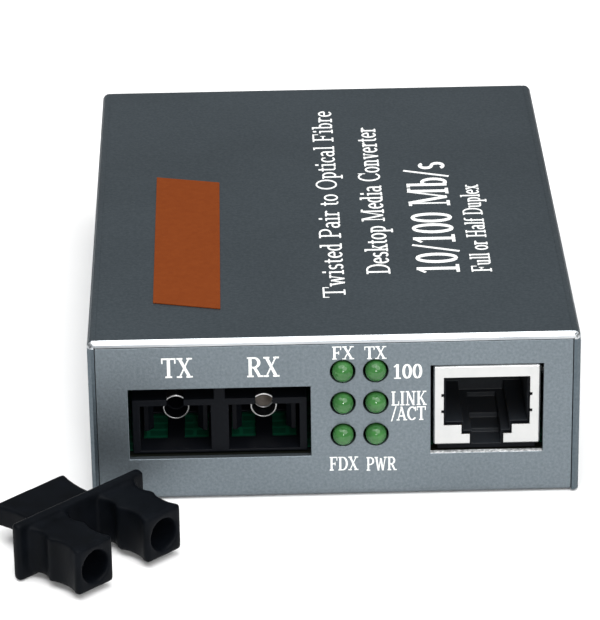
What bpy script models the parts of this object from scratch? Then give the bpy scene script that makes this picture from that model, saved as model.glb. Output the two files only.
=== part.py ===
"""A desktop converter between optical fibre and twisted-pair Ethernet.

A folded steel tray and a steel cover hold one circuit board.  The board
carries a duplex SC optical transceiver, a shielded RJ45 socket, six signal
lamps, a DC power jack and the circuit that joins them.  The rubber dust plug
of the optical ports lies in front of the case.

Every size below is in millimetres.  The origin is the middle of the case's
underside, +X points to the right of someone facing the ports, +Y to the rear
and +Z up.
"""

import math

import bmesh
import bpy
from mathutils import Matrix, Vector

MM = 0.001

# ---------------------------------------------------------------- clearances
GAP = 0.3               # between pieces that touch on the real object
STICKER_GAP = 0.05      # under the paper label
SCREW_PLAY = 0.35       # round a screw's shank, on the radius
SLEEVE_PLAY = 0.2       # round an optical sleeve, on the radius

# ---------------------------------------------------------------------- case
CASE_WIDTH = 70.0
CASE_DEPTH = 94.0
CASE_HEIGHT = 25.5
COVER_SHEET = 0.8
COVER_BEND = 1.1        # outer radius of the cover's two long bends
COVER_CHAMFER = 0.55    # bare edge along the cover's front and rear rims
COVER_LIFT = 0.3        # the cover's skirts stop this far above the table
TRAY_SHEET = 1.0
TRAY_BEND = 1.3         # outer radius of the tray's two bends

# ------------------------------------------------------- screws of the cover
TAB_LENGTH = 10.0
TAB_HEIGHT = 16.0
TAB_Y = 32.0            # from the middle of the case to the middle of a tab
COVER_SCREW_Z = 12.7
COVER_SCREW_HEAD = 2.1  # radius of the flat head
COVER_SCREW_SHANK = 1.2
COVER_SCREW_LENGTH = 5.0
COVER_SCREW_HEAD_DEPTH = 0.9
DRIVE_SLOT = 0.5        # width and depth of a screw's cross slot

# ------------------------------------------------------------- circuit board
BOARD_THICKNESS = 1.6
BOARD_TOP = 6.7         # height of the board's upper face above the table
BOARD_MARGIN = 0.9      # from the board's long edges to the tray's tabs
BOARD_SCREW_INSET = 3.1  # from the board's long edges
BOARD_SCREW_REAR = 7.2   # in front of the board's rear edge
BOARD_SCREW_FRONT = 6.4  # behind the transceiver
BOARD_SCREW_HEAD = 2.3
BOARD_SCREW_HEAD_HEIGHT = 1.6
BOARD_SCREW_SHANK = 1.0
STANDOFF_RADIUS = 2.6

# --------------------------------------------------------- optical interface
PORT_PITCH = 12.7       # of every duplex SC connector
PORT_PAIR_X = -16.45    # middle of the two ports
OPTICAL_AXIS = 4.4      # height of the ports' axis above the board
PORT_WINDOW_PLAY = 0.5  # beside the socket, in the panel
PORT_WINDOW_HEIGHT = 11.1
SOCKET_WALL = 1.1       # outside the ports
SOCKET_ROOF = 1.0
SOCKET_BACK = 1.6
CAVITY_WIDTH = 10.1
CAVITY_HEIGHT = 7.1
CAVITY_DEPTH = 14.4
SOCKET_FLOOR = 0.4
KEYWAY_WIDTH = 2.4      # notch in the roof of each port for the connector's key
KEYWAY_DEPTH = 10.0
FIN_WIDTH = 1.6         # fin between the ports, over the socket's frame
FIN_HEIGHT = 2.2
FIN_DEPTH = 3.0
FLOOR_SLOT_WIDTH = 3.5
FLOOR_SLOT_LENGTH = 8.4
FLOOR_SLOT_START = 4.0  # behind the socket's front face
FLOOR_RIB = 2.4         # between the two floor slots of a port
LATCH_REACH = 11.0      # length of a latch arm
LATCH_THICKNESS = 0.8
LATCH_HEIGHT = 4.2
LATCH_SWING = 0.5       # room between an arm and the port's side
LATCH_HOOK = 0.55       # how far a hook reaches in
BARREL_NOSE = 2.0       # radius of the tube that guides the ferrule
BARREL_NOSE_WALL = 0.3
BARREL_NOSE_REACH = 8.0 # in front of the cavity's rear wall
BARREL_BODY = 3.3
BARREL_BODY_LENGTH = 6.0
SLEEVE_BORE = 1.25      # radius
SLEEVE_SETBACK = 2.2    # behind the tube's rim
MODULE_DEPTH = 22.0     # the closed rear part of the transceiver
MODULE_HEIGHT = 9.6
MODULE_SHEET = 0.5
MODULE_BOARD_THICKNESS = 0.8
MODULE_BOARD_HEIGHT = 1.2
PIN_PITCH = 2.54
PIN_COUNT = 9
PIN_SIZE = 0.5
PIN_BAR_HEIGHT = 2.0
PIN_BAR_DEPTH = 2.2

# ------------------------------------------------------------- RJ45 socket
JACK_X = 21.7
JACK_WIDTH = 15.3
JACK_TOP = 13.8         # above the board
JACK_LIFT = 1.2         # lower edge of the shield's face above the board
JACK_DEPTH = 21.2
JACK_SETBACK = 0.2      # of the shield's face behind the panel's face
JACK_WINDOW_PLAY = 0.4  # beside the shield, in the panel
JACK_WINDOW_HEADROOM = 0.2
SHIELD_SHEET = 0.35
PLUG_WIDTH = 12.3       # the opening for the plug's body
PLUG_TOP = 11.9         # above the board
PLUG_FLOOR = 4.3
TAB_STEP_WIDTH = 7.2    # the first step of the opening for the plug's clip
TAB_STEP_FLOOR = 2.85
CLIP_WIDTH = 4.8
INSERT_INSET = 0.3      # the plastic's opening inside the shield's opening
INSERT_CAVITY = 13.0
CLIP_SLOT_FLOOR = 0.7   # of plastic under the clip's slot, at the mouth
CLIP_SLOT_STEPS = [(3.6, 0.6), (7.0, 0.8)]  # how far in its floor rises, and by how much
CLIP_SLOT_DEPTH = 12.2
NICK_SIZE = (0.35, 0.45)  # depth and height of the four nicks in the sides of the shield's opening
NICK_PLACES = (9.1, 6.5)  # above the board
CONTACT_COUNT = 8
CONTACT_PITCH = 1.016
CONTACT_WIRE = 0.36
CONTACT_SLOPE = 26.0    # degrees below level
CONTACT_REACH = 9.4
CONTACT_LEVEL_RUN = 0.3
CONTACT_ROOT_BACK = 2.8 # of the bend behind the shield's face

# ---------------------------------------------------------------- six lamps
LAMP_RADIUS = 1.5
LAMP_PLAY = 0.3         # round a lamp in the panel, on the radius
LAMP_COLUMN_X = 3.5     # middle of the two columns
LAMP_COLUMN_WALL = 0.3  # of the holder, between two columns
LAMP_ROW_Z = 15.0       # the middle row, above the table
LAMP_ROW_WALL = 0.65    # of the holder, between two rows
LAMP_LENGTH = 5.2
LAMP_FLANGE_LIP = 0.4   # of a lamp's foot beyond its body
LAMP_FLANGE_DEPTH = 0.9
HOLDER_DEPTH = 7.0
HOLDER_MARGIN = 1.6

# --------------------------------------------------------------- power jack
POWER_X = -22.0
POWER_WIDTH = 9.0
POWER_DEPTH = 13.4
POWER_HEIGHT = 10.8
POWER_AXIS = 6.5        # above the board
POWER_BORE = 3.15
POWER_BORE_DEPTH = 9.5
POWER_PIN = 1.05
POWER_PIN_LENGTH = 8.2
POWER_WINDOW_LIP = 0.75 # of the hole in the rear panel beyond the bore
POWER_SPRING_WIDTH = 1.8
POWER_SPRING_THICKNESS = 0.3
POWER_SLOT_DEPTH = 1.5

# ----------------------------------------------- other parts of the circuit
TRANSFORMER_SIZE = (12.8, 9.0, 5.6)
TRANSFORMER_SPACE = 4.0 # behind the RJ45 socket
CHIP_SIDE = 14.0
CHIP_HEIGHT = 1.8
CHIP_LEADS = 1.2        # reach of its leads on each side
CHIP_X = 1.0
CHIP_BEHIND = 16.4      # its middle behind the transceiver
CRYSTAL_SIZE = (11.2, 4.6, 3.5)
CRYSTAL_X = 19.6
CRYSTAL_BEHIND = 19.4   # its middle behind the transceiver
CAPACITOR_HEIGHT = 11.0
CAPACITOR_GROOVE = 0.4
CAPACITORS = [          # X, distance ahead of the rear panel, radius
    (-8.0, 8.5, 3.15),
    (2.0, 8.5, 3.15),
    (15.0, 19.0, 2.5),
]
REGULATOR_SIZE = (6.5, 3.5, 1.7)
REGULATOR_LEAD = 3.0    # width of its tab
REGULATOR_X = -15.2
REGULATOR_AHEAD = 22.2  # its middle ahead of the rear panel
INDUCTOR_RADIUS = 3.9
INDUCTOR_NECK = 2.9
INDUCTOR_FLANGE = 1.0
INDUCTOR_HEIGHT = 4.6
INDUCTOR_X = -6.0
INDUCTOR_AHEAD = 19.5   # its middle ahead of the rear panel

# ------------------------------------------------------------------- label
LABEL_WIDTH = 9.7
LABEL_LENGTH = 45.6
LABEL_SLANT = 2.5       # how far its ends fall from left to right
LABEL_X = -20.9
LABEL_Y = -13.0
LABEL_THICKNESS = 0.12

# --------------------------------------------------------------- dust plug
PLUG_INWARD = 6.0       # from the case's left side to the middle between the prongs' noses
PLUG_AHEAD = 22.6       # from the front panel to the same place
PLUG_TURN = 43.0        # degrees about +Z
PRONG_WIDTH = 6.7
PRONG_HEIGHT = 7.0
PRONG_LENGTH = 10.0
PRONG_CORNER = 0.5      # radius of the nose's upright corners
PRONG_SCOOPS = [        # hollows in each side: start, end and depth, ahead of the plate
    (0.5, 3.7, 0.6),
    (4.3, 9.2, 0.65),
]
PRONG_HOLE = 2.35
PRONG_HOLE_DEPTH = 7.0
PLUG_PLATE_WIDTH = 23.4
PLUG_PLATE_HEIGHT = 8.8
PLUG_PLATE_THICKNESS = 1.6
GRIP_WIDTH = 13.2
GRIP_WAIST = 11.4
GRIP_LENGTH = 10.0
GRIP_THICKNESS = 3.4

# ------------------------------------------------------ values worked out
FRONT = -CASE_DEPTH / 2
REAR = CASE_DEPTH / 2
PANEL_INNER = FRONT + TRAY_SHEET
REAR_INNER = REAR - TRAY_SHEET
TRAY_HALF = CASE_WIDTH / 2 - COVER_SHEET - GAP
PANEL_TOP = CASE_HEIGHT - COVER_SHEET - GAP
BOARD_UNDER = BOARD_TOP - BOARD_THICKNESS
BOARD_HALF = TRAY_HALF - TRAY_SHEET - BOARD_MARGIN
ON_BOARD = BOARD_TOP + GAP
AXIS_Z = BOARD_TOP + OPTICAL_AXIS
SOCKET_WIDTH = PORT_PITCH + CAVITY_WIDTH + 2 * SOCKET_WALL
SOCKET_HEIGHT = SOCKET_FLOOR + CAVITY_HEIGHT + SOCKET_ROOF
SOCKET_DEPTH = CAVITY_DEPTH + SOCKET_BACK
SOCKET_FRONT = PANEL_INNER + GAP
SOCKET_REAR = SOCKET_FRONT + SOCKET_DEPTH
CAVITY_REAR = SOCKET_FRONT + CAVITY_DEPTH
CAVITY_FLOOR = ON_BOARD + SOCKET_FLOOR
MODULE_REAR = SOCKET_REAR + GAP + MODULE_DEPTH
LATCH_GAP = CAVITY_WIDTH / 2 - LATCH_SWING - LATCH_THICKNESS
JACK_FACE = FRONT + JACK_SETBACK
LAMP_HOLE_RADIUS = LAMP_RADIUS + LAMP_PLAY
LAMP_FLANGE = LAMP_RADIUS + LAMP_FLANGE_LIP
LAMP_COLUMN_PITCH = 2 * (LAMP_FLANGE + GAP) + LAMP_COLUMN_WALL
LAMP_ROW_PITCH = 2 * (LAMP_FLANGE + GAP) + LAMP_ROW_WALL
POWER_WINDOW = POWER_BORE + POWER_WINDOW_LIP

MATERIALS = {
    "cover_paint": ((0.070, 0.085, 0.100), 0.55, 0.3),
    "panel_paint": ((0.190, 0.225, 0.260), 0.50, 0.3),
    "orange_paper": ((0.260, 0.063, 0.016), 0.65, 0.0),
    "board_green": ((0.010, 0.120, 0.060), 0.40, 0.0),
    "black_plastic": ((0.012, 0.012, 0.014), 0.45, 0.0),
    "nickel": ((0.780, 0.760, 0.730), 0.25, 1.0),
    "gold": ((0.830, 0.580, 0.250), 0.25, 1.0),
    "ceramic": ((0.850, 0.850, 0.820), 0.20, 0.0),
    "lamp_green": ((0.060, 0.300, 0.060), 0.15, 0.0),
    "screw_steel": ((0.450, 0.450, 0.460), 0.30, 1.0),
    "black_rubber": ((0.012, 0.013, 0.015), 0.60, 0.0),
    "chip_epoxy": ((0.020, 0.020, 0.022), 0.60, 0.0),
    "can_sleeve": ((0.020, 0.030, 0.080), 0.35, 0.0),
}


# =================================================================== helpers
def material(name):
    """Return the named Principled material, making it the first time."""
    found = bpy.data.materials.get(name)
    if found:
        return found
    colour, roughness, metallic = MATERIALS[name]
    made = bpy.data.materials.new(name)
    made.use_nodes = True
    shader = made.node_tree.nodes["Principled BSDF"]
    shader.inputs["Base Color"].default_value = (*colour, 1.0)
    shader.inputs["Roughness"].default_value = roughness
    shader.inputs["Metallic"].default_value = metallic
    made.diffuse_color = (*colour, 1.0)
    return made


def piece(name, shape, finish, origin=(0, 0, 0), smooth=False):
    """Turn a bmesh in millimetres into an object whose origin is given."""
    start = Vector(origin)
    bmesh.ops.translate(shape, vec=-start, verts=shape.verts)
    bmesh.ops.scale(shape, vec=(MM, MM, MM), verts=shape.verts)
    bmesh.ops.recalc_face_normals(shape, faces=shape.faces)
    mesh = bpy.data.meshes.new(name)
    shape.to_mesh(mesh)
    shape.free()
    if smooth:
        mesh.shade_smooth()
        mesh.set_sharp_from_angle(angle=math.radians(35))
    made = bpy.data.objects.new(name, mesh)
    made.location = start * MM
    mesh.materials.append(material(finish))
    bpy.context.scene.collection.objects.link(made)
    return made


def combine(target, shape, operation, label):
    """Join a bmesh in millimetres to a piece, or cut it away, or keep the common part."""
    tool = piece(f"{target.name}_{label}", shape, "black_plastic")
    tool.hide_render = True
    tool.display_type = "WIRE"
    step = target.modifiers.new(label, "BOOLEAN")
    step.operation = operation
    step.object = tool


def block(low, high, bevel=0.0, segments=2):
    """A box between two corners, with its edges rounded if bevel is given."""
    shape = bmesh.new()
    bmesh.ops.create_cube(shape, size=1.0)
    size = [b - a for a, b in zip(low, high)]
    middle = [(a + b) / 2 for a, b in zip(low, high)]
    bmesh.ops.scale(shape, vec=size, verts=shape.verts)
    bmesh.ops.translate(shape, vec=middle, verts=shape.verts)
    if bevel:
        bmesh.ops.bevel(shape, geom=shape.edges[:], offset=bevel, segments=segments,
                        profile=0.5, affect="EDGES", material=-1)
    return shape


def merged(*shapes):
    """Put several bmeshes that stay apart into one."""
    whole = bmesh.new()
    for shape in shapes:
        part = bpy.data.meshes.new("part")
        shape.to_mesh(part)
        shape.free()
        whole.from_mesh(part)
        bpy.data.meshes.remove(part)
    return whole


def prism(outline, axis, low, high):
    """Extrude an outline along an axis.

    The outline's two numbers are (y, z) along X, (x, z) along Y and (x, y) along Z.
    """
    place = {"X": lambda a, b: (low, a, b), "Y": lambda a, b: (a, low, b), "Z": lambda a, b: (a, b, low)}
    travel = {"X": (high - low, 0, 0), "Y": (0, high - low, 0), "Z": (0, 0, high - low)}
    shape = bmesh.new()
    face = shape.faces.new([shape.verts.new(place[axis](a, b)) for a, b in outline])
    grown = bmesh.ops.extrude_face_region(shape, geom=[face])
    moved = [item for item in grown["geom"] if isinstance(item, bmesh.types.BMVert)]
    bmesh.ops.translate(shape, vec=travel[axis], verts=moved)
    return shape


def turned(profile, centre, axis, sides=32):
    """Turn a closed (radius, distance) profile round an axis through a point.

    Distances run along the axis, which is one of +X, -X, +Y, -Y and +Z.
    """
    shape = bmesh.new()
    loop = [shape.verts.new((radius, 0, along)) for radius, along in profile]
    edges = [shape.edges.new((a, b)) for a, b in zip(loop, loop[1:] + loop[:1])
             if a.co.x > 0 or b.co.x > 0]
    bmesh.ops.spin(shape, geom=edges, cent=(0, 0, 0), axis=(0, 0, 1),
                   angle=math.tau, steps=sides, use_merge=True)
    bmesh.ops.remove_doubles(shape, verts=shape.verts, dist=1e-4)
    turns = {
        "+X": Matrix.Rotation(math.pi / 2, 4, "Y"),
        "-X": Matrix.Rotation(-math.pi / 2, 4, "Y"),
        "+Y": Matrix.Rotation(-math.pi / 2, 4, "X"),
        "-Y": Matrix.Rotation(math.pi / 2, 4, "X"),
        "+Z": Matrix.Identity(4),
    }
    bmesh.ops.transform(shape, matrix=Matrix.Translation(centre) @ turns[axis], verts=shape.verts)
    return shape


def rod(centre, axis, radius, start, end, sides=32):
    """A plain cylinder along an axis."""
    return turned([(0, start), (radius, start), (radius, end), (0, end)], centre, axis, sides)


def arc(centre, radius, start, end, steps):
    """Points along an arc, in degrees, both ends included."""
    points = []
    for step in range(steps + 1):
        angle = math.radians(start + (end - start) * step / steps)
        points.append((centre[0] + radius * math.cos(angle), centre[1] + radius * math.sin(angle)))
    return points


# ====================================================================== case
def make_cover():
    """Top and both sides in one sheet, its front and rear rims chamfered."""
    half = CASE_WIDTH / 2
    inner = half - COVER_SHEET
    bend = COVER_BEND
    inner_bend = COVER_BEND - COVER_SHEET
    top = CASE_HEIGHT
    outline = [(half, COVER_LIFT)]
    outline += arc((half - bend, top - bend), bend, 0, 90, 4)
    outline += arc((bend - half, top - bend), bend, 90, 180, 4)
    outline += [(-half, COVER_LIFT), (-inner, COVER_LIFT)]
    outline += arc((bend - half, top - bend), inner_bend, 180, 90, 2)
    outline += arc((half - bend, top - bend), inner_bend, 90, 0, 2)
    outline += [(inner, COVER_LIFT)]
    shape = prism(outline, "Y", FRONT, REAR)

    def on_outside(vert):
        return abs(vert.co.x) > inner + GAP / 2 or vert.co.z > top - COVER_SHEET / 2

    rims = [edge for edge in shape.edges
            if all(abs(abs(v.co.y) - REAR) < 1e-4 and on_outside(v) for v in edge.verts)
            and not all(abs(v.co.z - COVER_LIFT) < 1e-4 for v in edge.verts)]
    bmesh.ops.bevel(shape, geom=rims, offset=COVER_CHAMFER, segments=1,
                    profile=0.5, affect="EDGES", material=-1)
    cover = piece("top_cover", shape, "cover_paint")
    holes = []
    for side in (-1, 1):
        for end in (-1, 1):
            centre = (side * half, end * TAB_Y, COVER_SCREW_Z)
            holes.append(rod(centre, "+X", COVER_SCREW_HEAD + GAP, -2, 2))
    combine(cover, merged(*holes), "DIFFERENCE", "screw_holes")


def make_tray():
    """Bottom, front panel and rear panel in one sheet, with four tabs for the cover's screws."""
    bend = TRAY_BEND
    inner_bend = TRAY_BEND - TRAY_SHEET
    outline = [(FRONT, PANEL_TOP)]
    outline += arc((FRONT + bend, bend), bend, 180, 270, 4)
    outline += arc((REAR - bend, bend), bend, 270, 360, 4)
    outline += [(REAR, PANEL_TOP), (REAR_INNER, PANEL_TOP)]
    outline += arc((REAR - bend, bend), inner_bend, 360, 270, 2)
    outline += arc((FRONT + bend, bend), inner_bend, 270, 180, 2)
    outline += [(PANEL_INNER, PANEL_TOP)]
    tray = piece("base_tray", prism(outline, "X", -TRAY_HALF, TRAY_HALF), "panel_paint")

    tabs = []
    for side in (-1, 1):
        for end in (-1, 1):
            outer = side * TRAY_HALF
            inner = side * (TRAY_HALF - TRAY_SHEET)
            tabs.append(block((min(outer, inner), end * TAB_Y - TAB_LENGTH / 2, TRAY_SHEET / 2),
                              (max(outer, inner), end * TAB_Y + TAB_LENGTH / 2, TAB_HEIGHT)))
    combine(tray, merged(*tabs), "UNION", "tabs")

    cuts = []
    for side in (-1, 1):
        for end in (-1, 1):
            cuts.append(rod((side * TRAY_HALF, end * TAB_Y, COVER_SCREW_Z), "+X",
                            COVER_SCREW_SHANK + SCREW_PLAY, -3, 3, 20))
    depth = TRAY_SHEET + 1
    half = SOCKET_WIDTH / 2 + PORT_WINDOW_PLAY
    cuts.append(block((PORT_PAIR_X - half, FRONT - depth, BOARD_TOP),
                      (PORT_PAIR_X + half, FRONT + depth, BOARD_TOP + PORT_WINDOW_HEIGHT)))
    half = JACK_WIDTH / 2 + JACK_WINDOW_PLAY
    cuts.append(block((JACK_X - half, FRONT - depth, BOARD_TOP),
                      (JACK_X + half, FRONT + depth, BOARD_TOP + JACK_TOP + JACK_WINDOW_HEADROOM)))
    for x, z in lamp_places():
        cuts.append(rod((x, FRONT, z), "+Y", LAMP_HOLE_RADIUS, -depth, depth, 28))
    cuts.append(rod((POWER_X, REAR, BOARD_TOP + POWER_AXIS), "+Y", POWER_WINDOW, -depth, depth, 40))
    combine(tray, merged(*cuts), "DIFFERENCE", "openings")


def make_cover_screws():
    """Four flat-headed screws, two in each side of the cover."""
    names = {(-1, -1): "front_left", (1, -1): "front_right", (-1, 1): "rear_left", (1, 1): "rear_right"}
    for (side, end), place in names.items():
        centre = (side * CASE_WIDTH / 2, end * TAB_Y, COVER_SCREW_Z)
        profile = [(0, 0), (COVER_SCREW_HEAD, 0), (COVER_SCREW_HEAD, 0.2),
                   (COVER_SCREW_SHANK, COVER_SCREW_HEAD_DEPTH),
                   (COVER_SCREW_SHANK, COVER_SCREW_LENGTH), (0, COVER_SCREW_LENGTH)]
        inward = "-X" if side > 0 else "+X"
        shape = turned(profile, centre, inward, 24)
        screw = piece(f"cover_screw_{place}", shape, "screw_steel", centre, smooth=True)
        cross_slot(screw, centre, COVER_SCREW_HEAD * 0.7, "X")


def cross_slot(screw, centre, reach, axis):
    """Cut a cross-shaped drive into a screw's head."""
    half = DRIVE_SLOT / 2
    if axis == "X":
        first = block((centre[0] - half, centre[1] - reach, centre[2] - half),
                      (centre[0] + half, centre[1] + reach, centre[2] + half))
        second = block((centre[0] - half, centre[1] - half, centre[2] - reach),
                       (centre[0] + half, centre[1] + half, centre[2] + reach))
    else:
        first = block((centre[0] - reach, centre[1] - half, centre[2] - half),
                      (centre[0] + reach, centre[1] + half, centre[2] + half))
        second = block((centre[0] - half, centre[1] - reach, centre[2] - half),
                       (centre[0] + half, centre[1] + reach, centre[2] + half))
    combine(screw, first, "DIFFERENCE", "slot_one")
    combine(screw, second, "DIFFERENCE", "slot_two")


def make_label():
    """A paper strip on the cover, its two ends cut at a slant."""
    half = LABEL_WIDTH / 2
    long_half = LABEL_LENGTH / 2
    fall = LABEL_SLANT / 2
    outline = [(LABEL_X - half, LABEL_Y + long_half + fall), (LABEL_X + half, LABEL_Y + long_half - fall),
               (LABEL_X + half, LABEL_Y - long_half - fall), (LABEL_X - half, LABEL_Y - long_half + fall)]
    base = CASE_HEIGHT + STICKER_GAP
    piece("label", prism(outline, "Z", base, base + LABEL_THICKNESS), "orange_paper",
          (LABEL_X, LABEL_Y, base))


# ===================================================================== board
def board_screw_places():
    """Names and places of the four screws that hold the board."""
    x = BOARD_HALF - BOARD_SCREW_INSET
    front = MODULE_REAR + BOARD_SCREW_FRONT
    rear = REAR_INNER - GAP - BOARD_SCREW_REAR
    return {
        "front_left": (-x, front),
        "front_right": (x, front),
        "rear_left": (-x, rear),
        "rear_right": (x, rear),
    }


def make_board():
    """The circuit board, with its four screw holes."""
    front = PANEL_INNER + GAP
    rear = REAR_INNER - GAP
    board = piece("main_board", block((-BOARD_HALF, front, BOARD_UNDER), (BOARD_HALF, rear, BOARD_TOP)),
                  "board_green")
    holes = [rod((x, y, BOARD_TOP), "+Z", BOARD_SCREW_SHANK + SCREW_PLAY, -3, 1, 20)
             for x, y in board_screw_places().values()]
    combine(board, merged(*holes), "DIFFERENCE", "holes")


def make_board_fixings():
    """A turned spacer under the board and a pan-head screw through it, at each corner."""
    floor = TRAY_SHEET + GAP
    top = BOARD_UNDER - GAP
    for place, (x, y) in board_screw_places().items():
        inner = BOARD_SCREW_SHANK + SCREW_PLAY
        ring = [(inner, floor), (STANDOFF_RADIUS, floor), (STANDOFF_RADIUS, top), (inner, top)]
        piece(f"standoff_{place}", turned(ring, (x, y, 0), "+Z", 24), "screw_steel", (x, y, floor), True)
        head = ON_BOARD + BOARD_SCREW_HEAD_HEIGHT
        profile = [(0, floor), (BOARD_SCREW_SHANK, floor), (BOARD_SCREW_SHANK, ON_BOARD),
                   (BOARD_SCREW_HEAD, ON_BOARD), (BOARD_SCREW_HEAD, head - 0.5),
                   (BOARD_SCREW_HEAD - 0.6, head), (0, head)]
        screw = piece(f"board_screw_{place}", turned(profile, (x, y, 0), "+Z", 24), "screw_steel",
                      (x, y, ON_BOARD), True)
        cross_slot(screw, (x, y, head), BOARD_SCREW_HEAD * 0.6, "Z")


# ======================================================= optical transceiver
def port_places():
    """Names and X places of the two optical ports."""
    return {"tx": PORT_PAIR_X - PORT_PITCH / 2, "rx": PORT_PAIR_X + PORT_PITCH / 2}


def make_socket():
    """The moulded duplex socket, open at the front and in the floor of each port."""
    low_x = PORT_PAIR_X - SOCKET_WIDTH / 2
    top = ON_BOARD + SOCKET_HEIGHT
    shell = block((low_x, SOCKET_FRONT, ON_BOARD), (low_x + SOCKET_WIDTH, SOCKET_REAR, top))
    socket = piece("sc_housing", shell, "black_plastic", (PORT_PAIR_X, SOCKET_FRONT, AXIS_Z))
    fin = block((PORT_PAIR_X - FIN_WIDTH / 2, SOCKET_FRONT, top - 1),
                (PORT_PAIR_X + FIN_WIDTH / 2, SOCKET_FRONT + FIN_DEPTH, top + FIN_HEIGHT))
    combine(socket, fin, "UNION", "fin")
    cuts = []
    for x in port_places().values():
        cuts.append(block((x - CAVITY_WIDTH / 2, SOCKET_FRONT - 1, CAVITY_FLOOR),
                          (x + CAVITY_WIDTH / 2, CAVITY_REAR, CAVITY_FLOOR + CAVITY_HEIGHT)))
    combine(socket, merged(*cuts), "DIFFERENCE", "ports")
    keyways = []
    for x in port_places().values():
        keyways.append(block((x - KEYWAY_WIDTH / 2, SOCKET_FRONT - 1, CAVITY_FLOOR + CAVITY_HEIGHT - 1),
                             (x + KEYWAY_WIDTH / 2, SOCKET_FRONT + KEYWAY_DEPTH, top + 1)))
    combine(socket, merged(*keyways), "DIFFERENCE", "keyways")
    slots = []
    start = SOCKET_FRONT + FLOOR_SLOT_START
    for x in port_places().values():
        for side in (-1, 1):
            middle = x + side * (FLOOR_RIB + FLOOR_SLOT_WIDTH) / 2
            slots.append(block((middle - FLOOR_SLOT_WIDTH / 2, start, ON_BOARD - 1),
                               (middle + FLOOR_SLOT_WIDTH / 2, start + FLOOR_SLOT_LENGTH, CAVITY_FLOOR + 1)))
        slots.append(rod((x, CAVITY_REAR, AXIS_Z), "+Y", BARREL_NOSE + GAP, -1, SOCKET_DEPTH, 32))
    combine(socket, merged(*slots), "DIFFERENCE", "floor_slots")


def make_latch_arms():
    """Two springy hooked arms in each port, which hold the plug's body."""
    root_y = CAVITY_REAR - GAP
    tip_y = root_y - LATCH_REACH
    for port, x in port_places().items():
        for side, place in ((-1, "left"), (1, "right")):
            inner = LATCH_GAP
            outer = LATCH_GAP + LATCH_THICKNESS
            hook = LATCH_GAP - LATCH_HOOK
            outline = [(inner, root_y), (inner, tip_y + 2.2), (hook, tip_y + 1.8), (hook, tip_y + 1.2),
                       (inner + 0.2, tip_y), (outer, tip_y), (outer, root_y)]
            outline = [(x + side * a, b) for a, b in outline]
            shape = prism(outline, "Z", AXIS_Z - LATCH_HEIGHT / 2, AXIS_Z + LATCH_HEIGHT / 2)
            pivot = (x + side * (inner + outer) / 2, root_y, AXIS_Z)
            piece(f"latch_arm_{port}_{place}", shape, "black_plastic", pivot)


def make_optics():
    """The metal barrel and the ceramic sleeve of each port."""
    for port, x in port_places().items():
        rim = CAVITY_REAR - BARREL_NOSE_REACH
        body_start = SOCKET_REAR + GAP
        body_end = body_start + BARREL_BODY_LENGTH
        bore = BARREL_NOSE - BARREL_NOSE_WALL
        profile = [(bore, rim), (BARREL_NOSE - 0.1, rim), (BARREL_NOSE, rim + 0.1), (BARREL_NOSE, body_start),
                   (BARREL_BODY, body_start), (BARREL_BODY, body_end), (0, body_end), (0, body_start + 1),
                   (bore, body_start + 1)]
        piece(f"{port}_barrel", turned(profile, (x, 0, AXIS_Z), "+Y", 32), "nickel", (x, rim, AXIS_Z), True)
        outer = bore - SLEEVE_PLAY
        start = rim + SLEEVE_SETBACK
        end = body_start + 1 - GAP
        ring = [(SLEEVE_BORE, start + 0.15), (SLEEVE_BORE + 0.15, start), (outer, start), (outer, end),
                (SLEEVE_BORE, end)]
        piece(f"{port}_sleeve", turned(ring, (x, 0, AXIS_Z), "+Y", 28), "ceramic", (x, start, AXIS_Z), True)


def make_module():
    """The closed rear part of the transceiver: its little board, its cap and its row of pins."""
    start = SOCKET_REAR + GAP
    end = start + MODULE_DEPTH
    low_x = PORT_PAIR_X - SOCKET_WIDTH / 2
    high_x = low_x + SOCKET_WIDTH
    top = ON_BOARD + MODULE_HEIGHT
    sheet = MODULE_SHEET
    cap = piece("transceiver_cap", block((low_x, start, ON_BOARD), (high_x, end, top)), "nickel",
                (PORT_PAIR_X, start, ON_BOARD))
    hollow = block((low_x + sheet, start - 1, ON_BOARD - 1), (high_x - sheet, end - sheet, top - sheet))
    combine(cap, hollow, "DIFFERENCE", "hollow")

    board_z = ON_BOARD + MODULE_BOARD_HEIGHT
    board_start = start + BARREL_BODY_LENGTH + 2 * GAP
    bar_start = end - sheet - GAP - PIN_BAR_DEPTH
    piece("transceiver_board",
          block((low_x + sheet + GAP, board_start, board_z),
                (high_x - sheet - GAP, bar_start - GAP, board_z + MODULE_BOARD_THICKNESS)),
          "board_green", (PORT_PAIR_X, board_start, board_z))

    row = (PIN_COUNT - 1) * PIN_PITCH
    bar = block((PORT_PAIR_X - row / 2 - 0.6, bar_start, ON_BOARD),
                (PORT_PAIR_X + row / 2 + 0.6, bar_start + PIN_BAR_DEPTH, ON_BOARD + PIN_BAR_HEIGHT))
    pin_row = piece("transceiver_pins", bar, "black_plastic", (PORT_PAIR_X, bar_start, ON_BOARD))
    pins = []
    middle = bar_start + PIN_BAR_DEPTH / 2
    for index in range(PIN_COUNT):
        x = PORT_PAIR_X - row / 2 + index * PIN_PITCH
        half = PIN_SIZE / 2
        pins.append(block((x - half, middle - half, ON_BOARD + 0.5),
                          (x + half, middle + half, ON_BOARD + PIN_BAR_HEIGHT + 1.5)))
    combine(pin_row, merged(*pins), "UNION", "pins")


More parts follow.
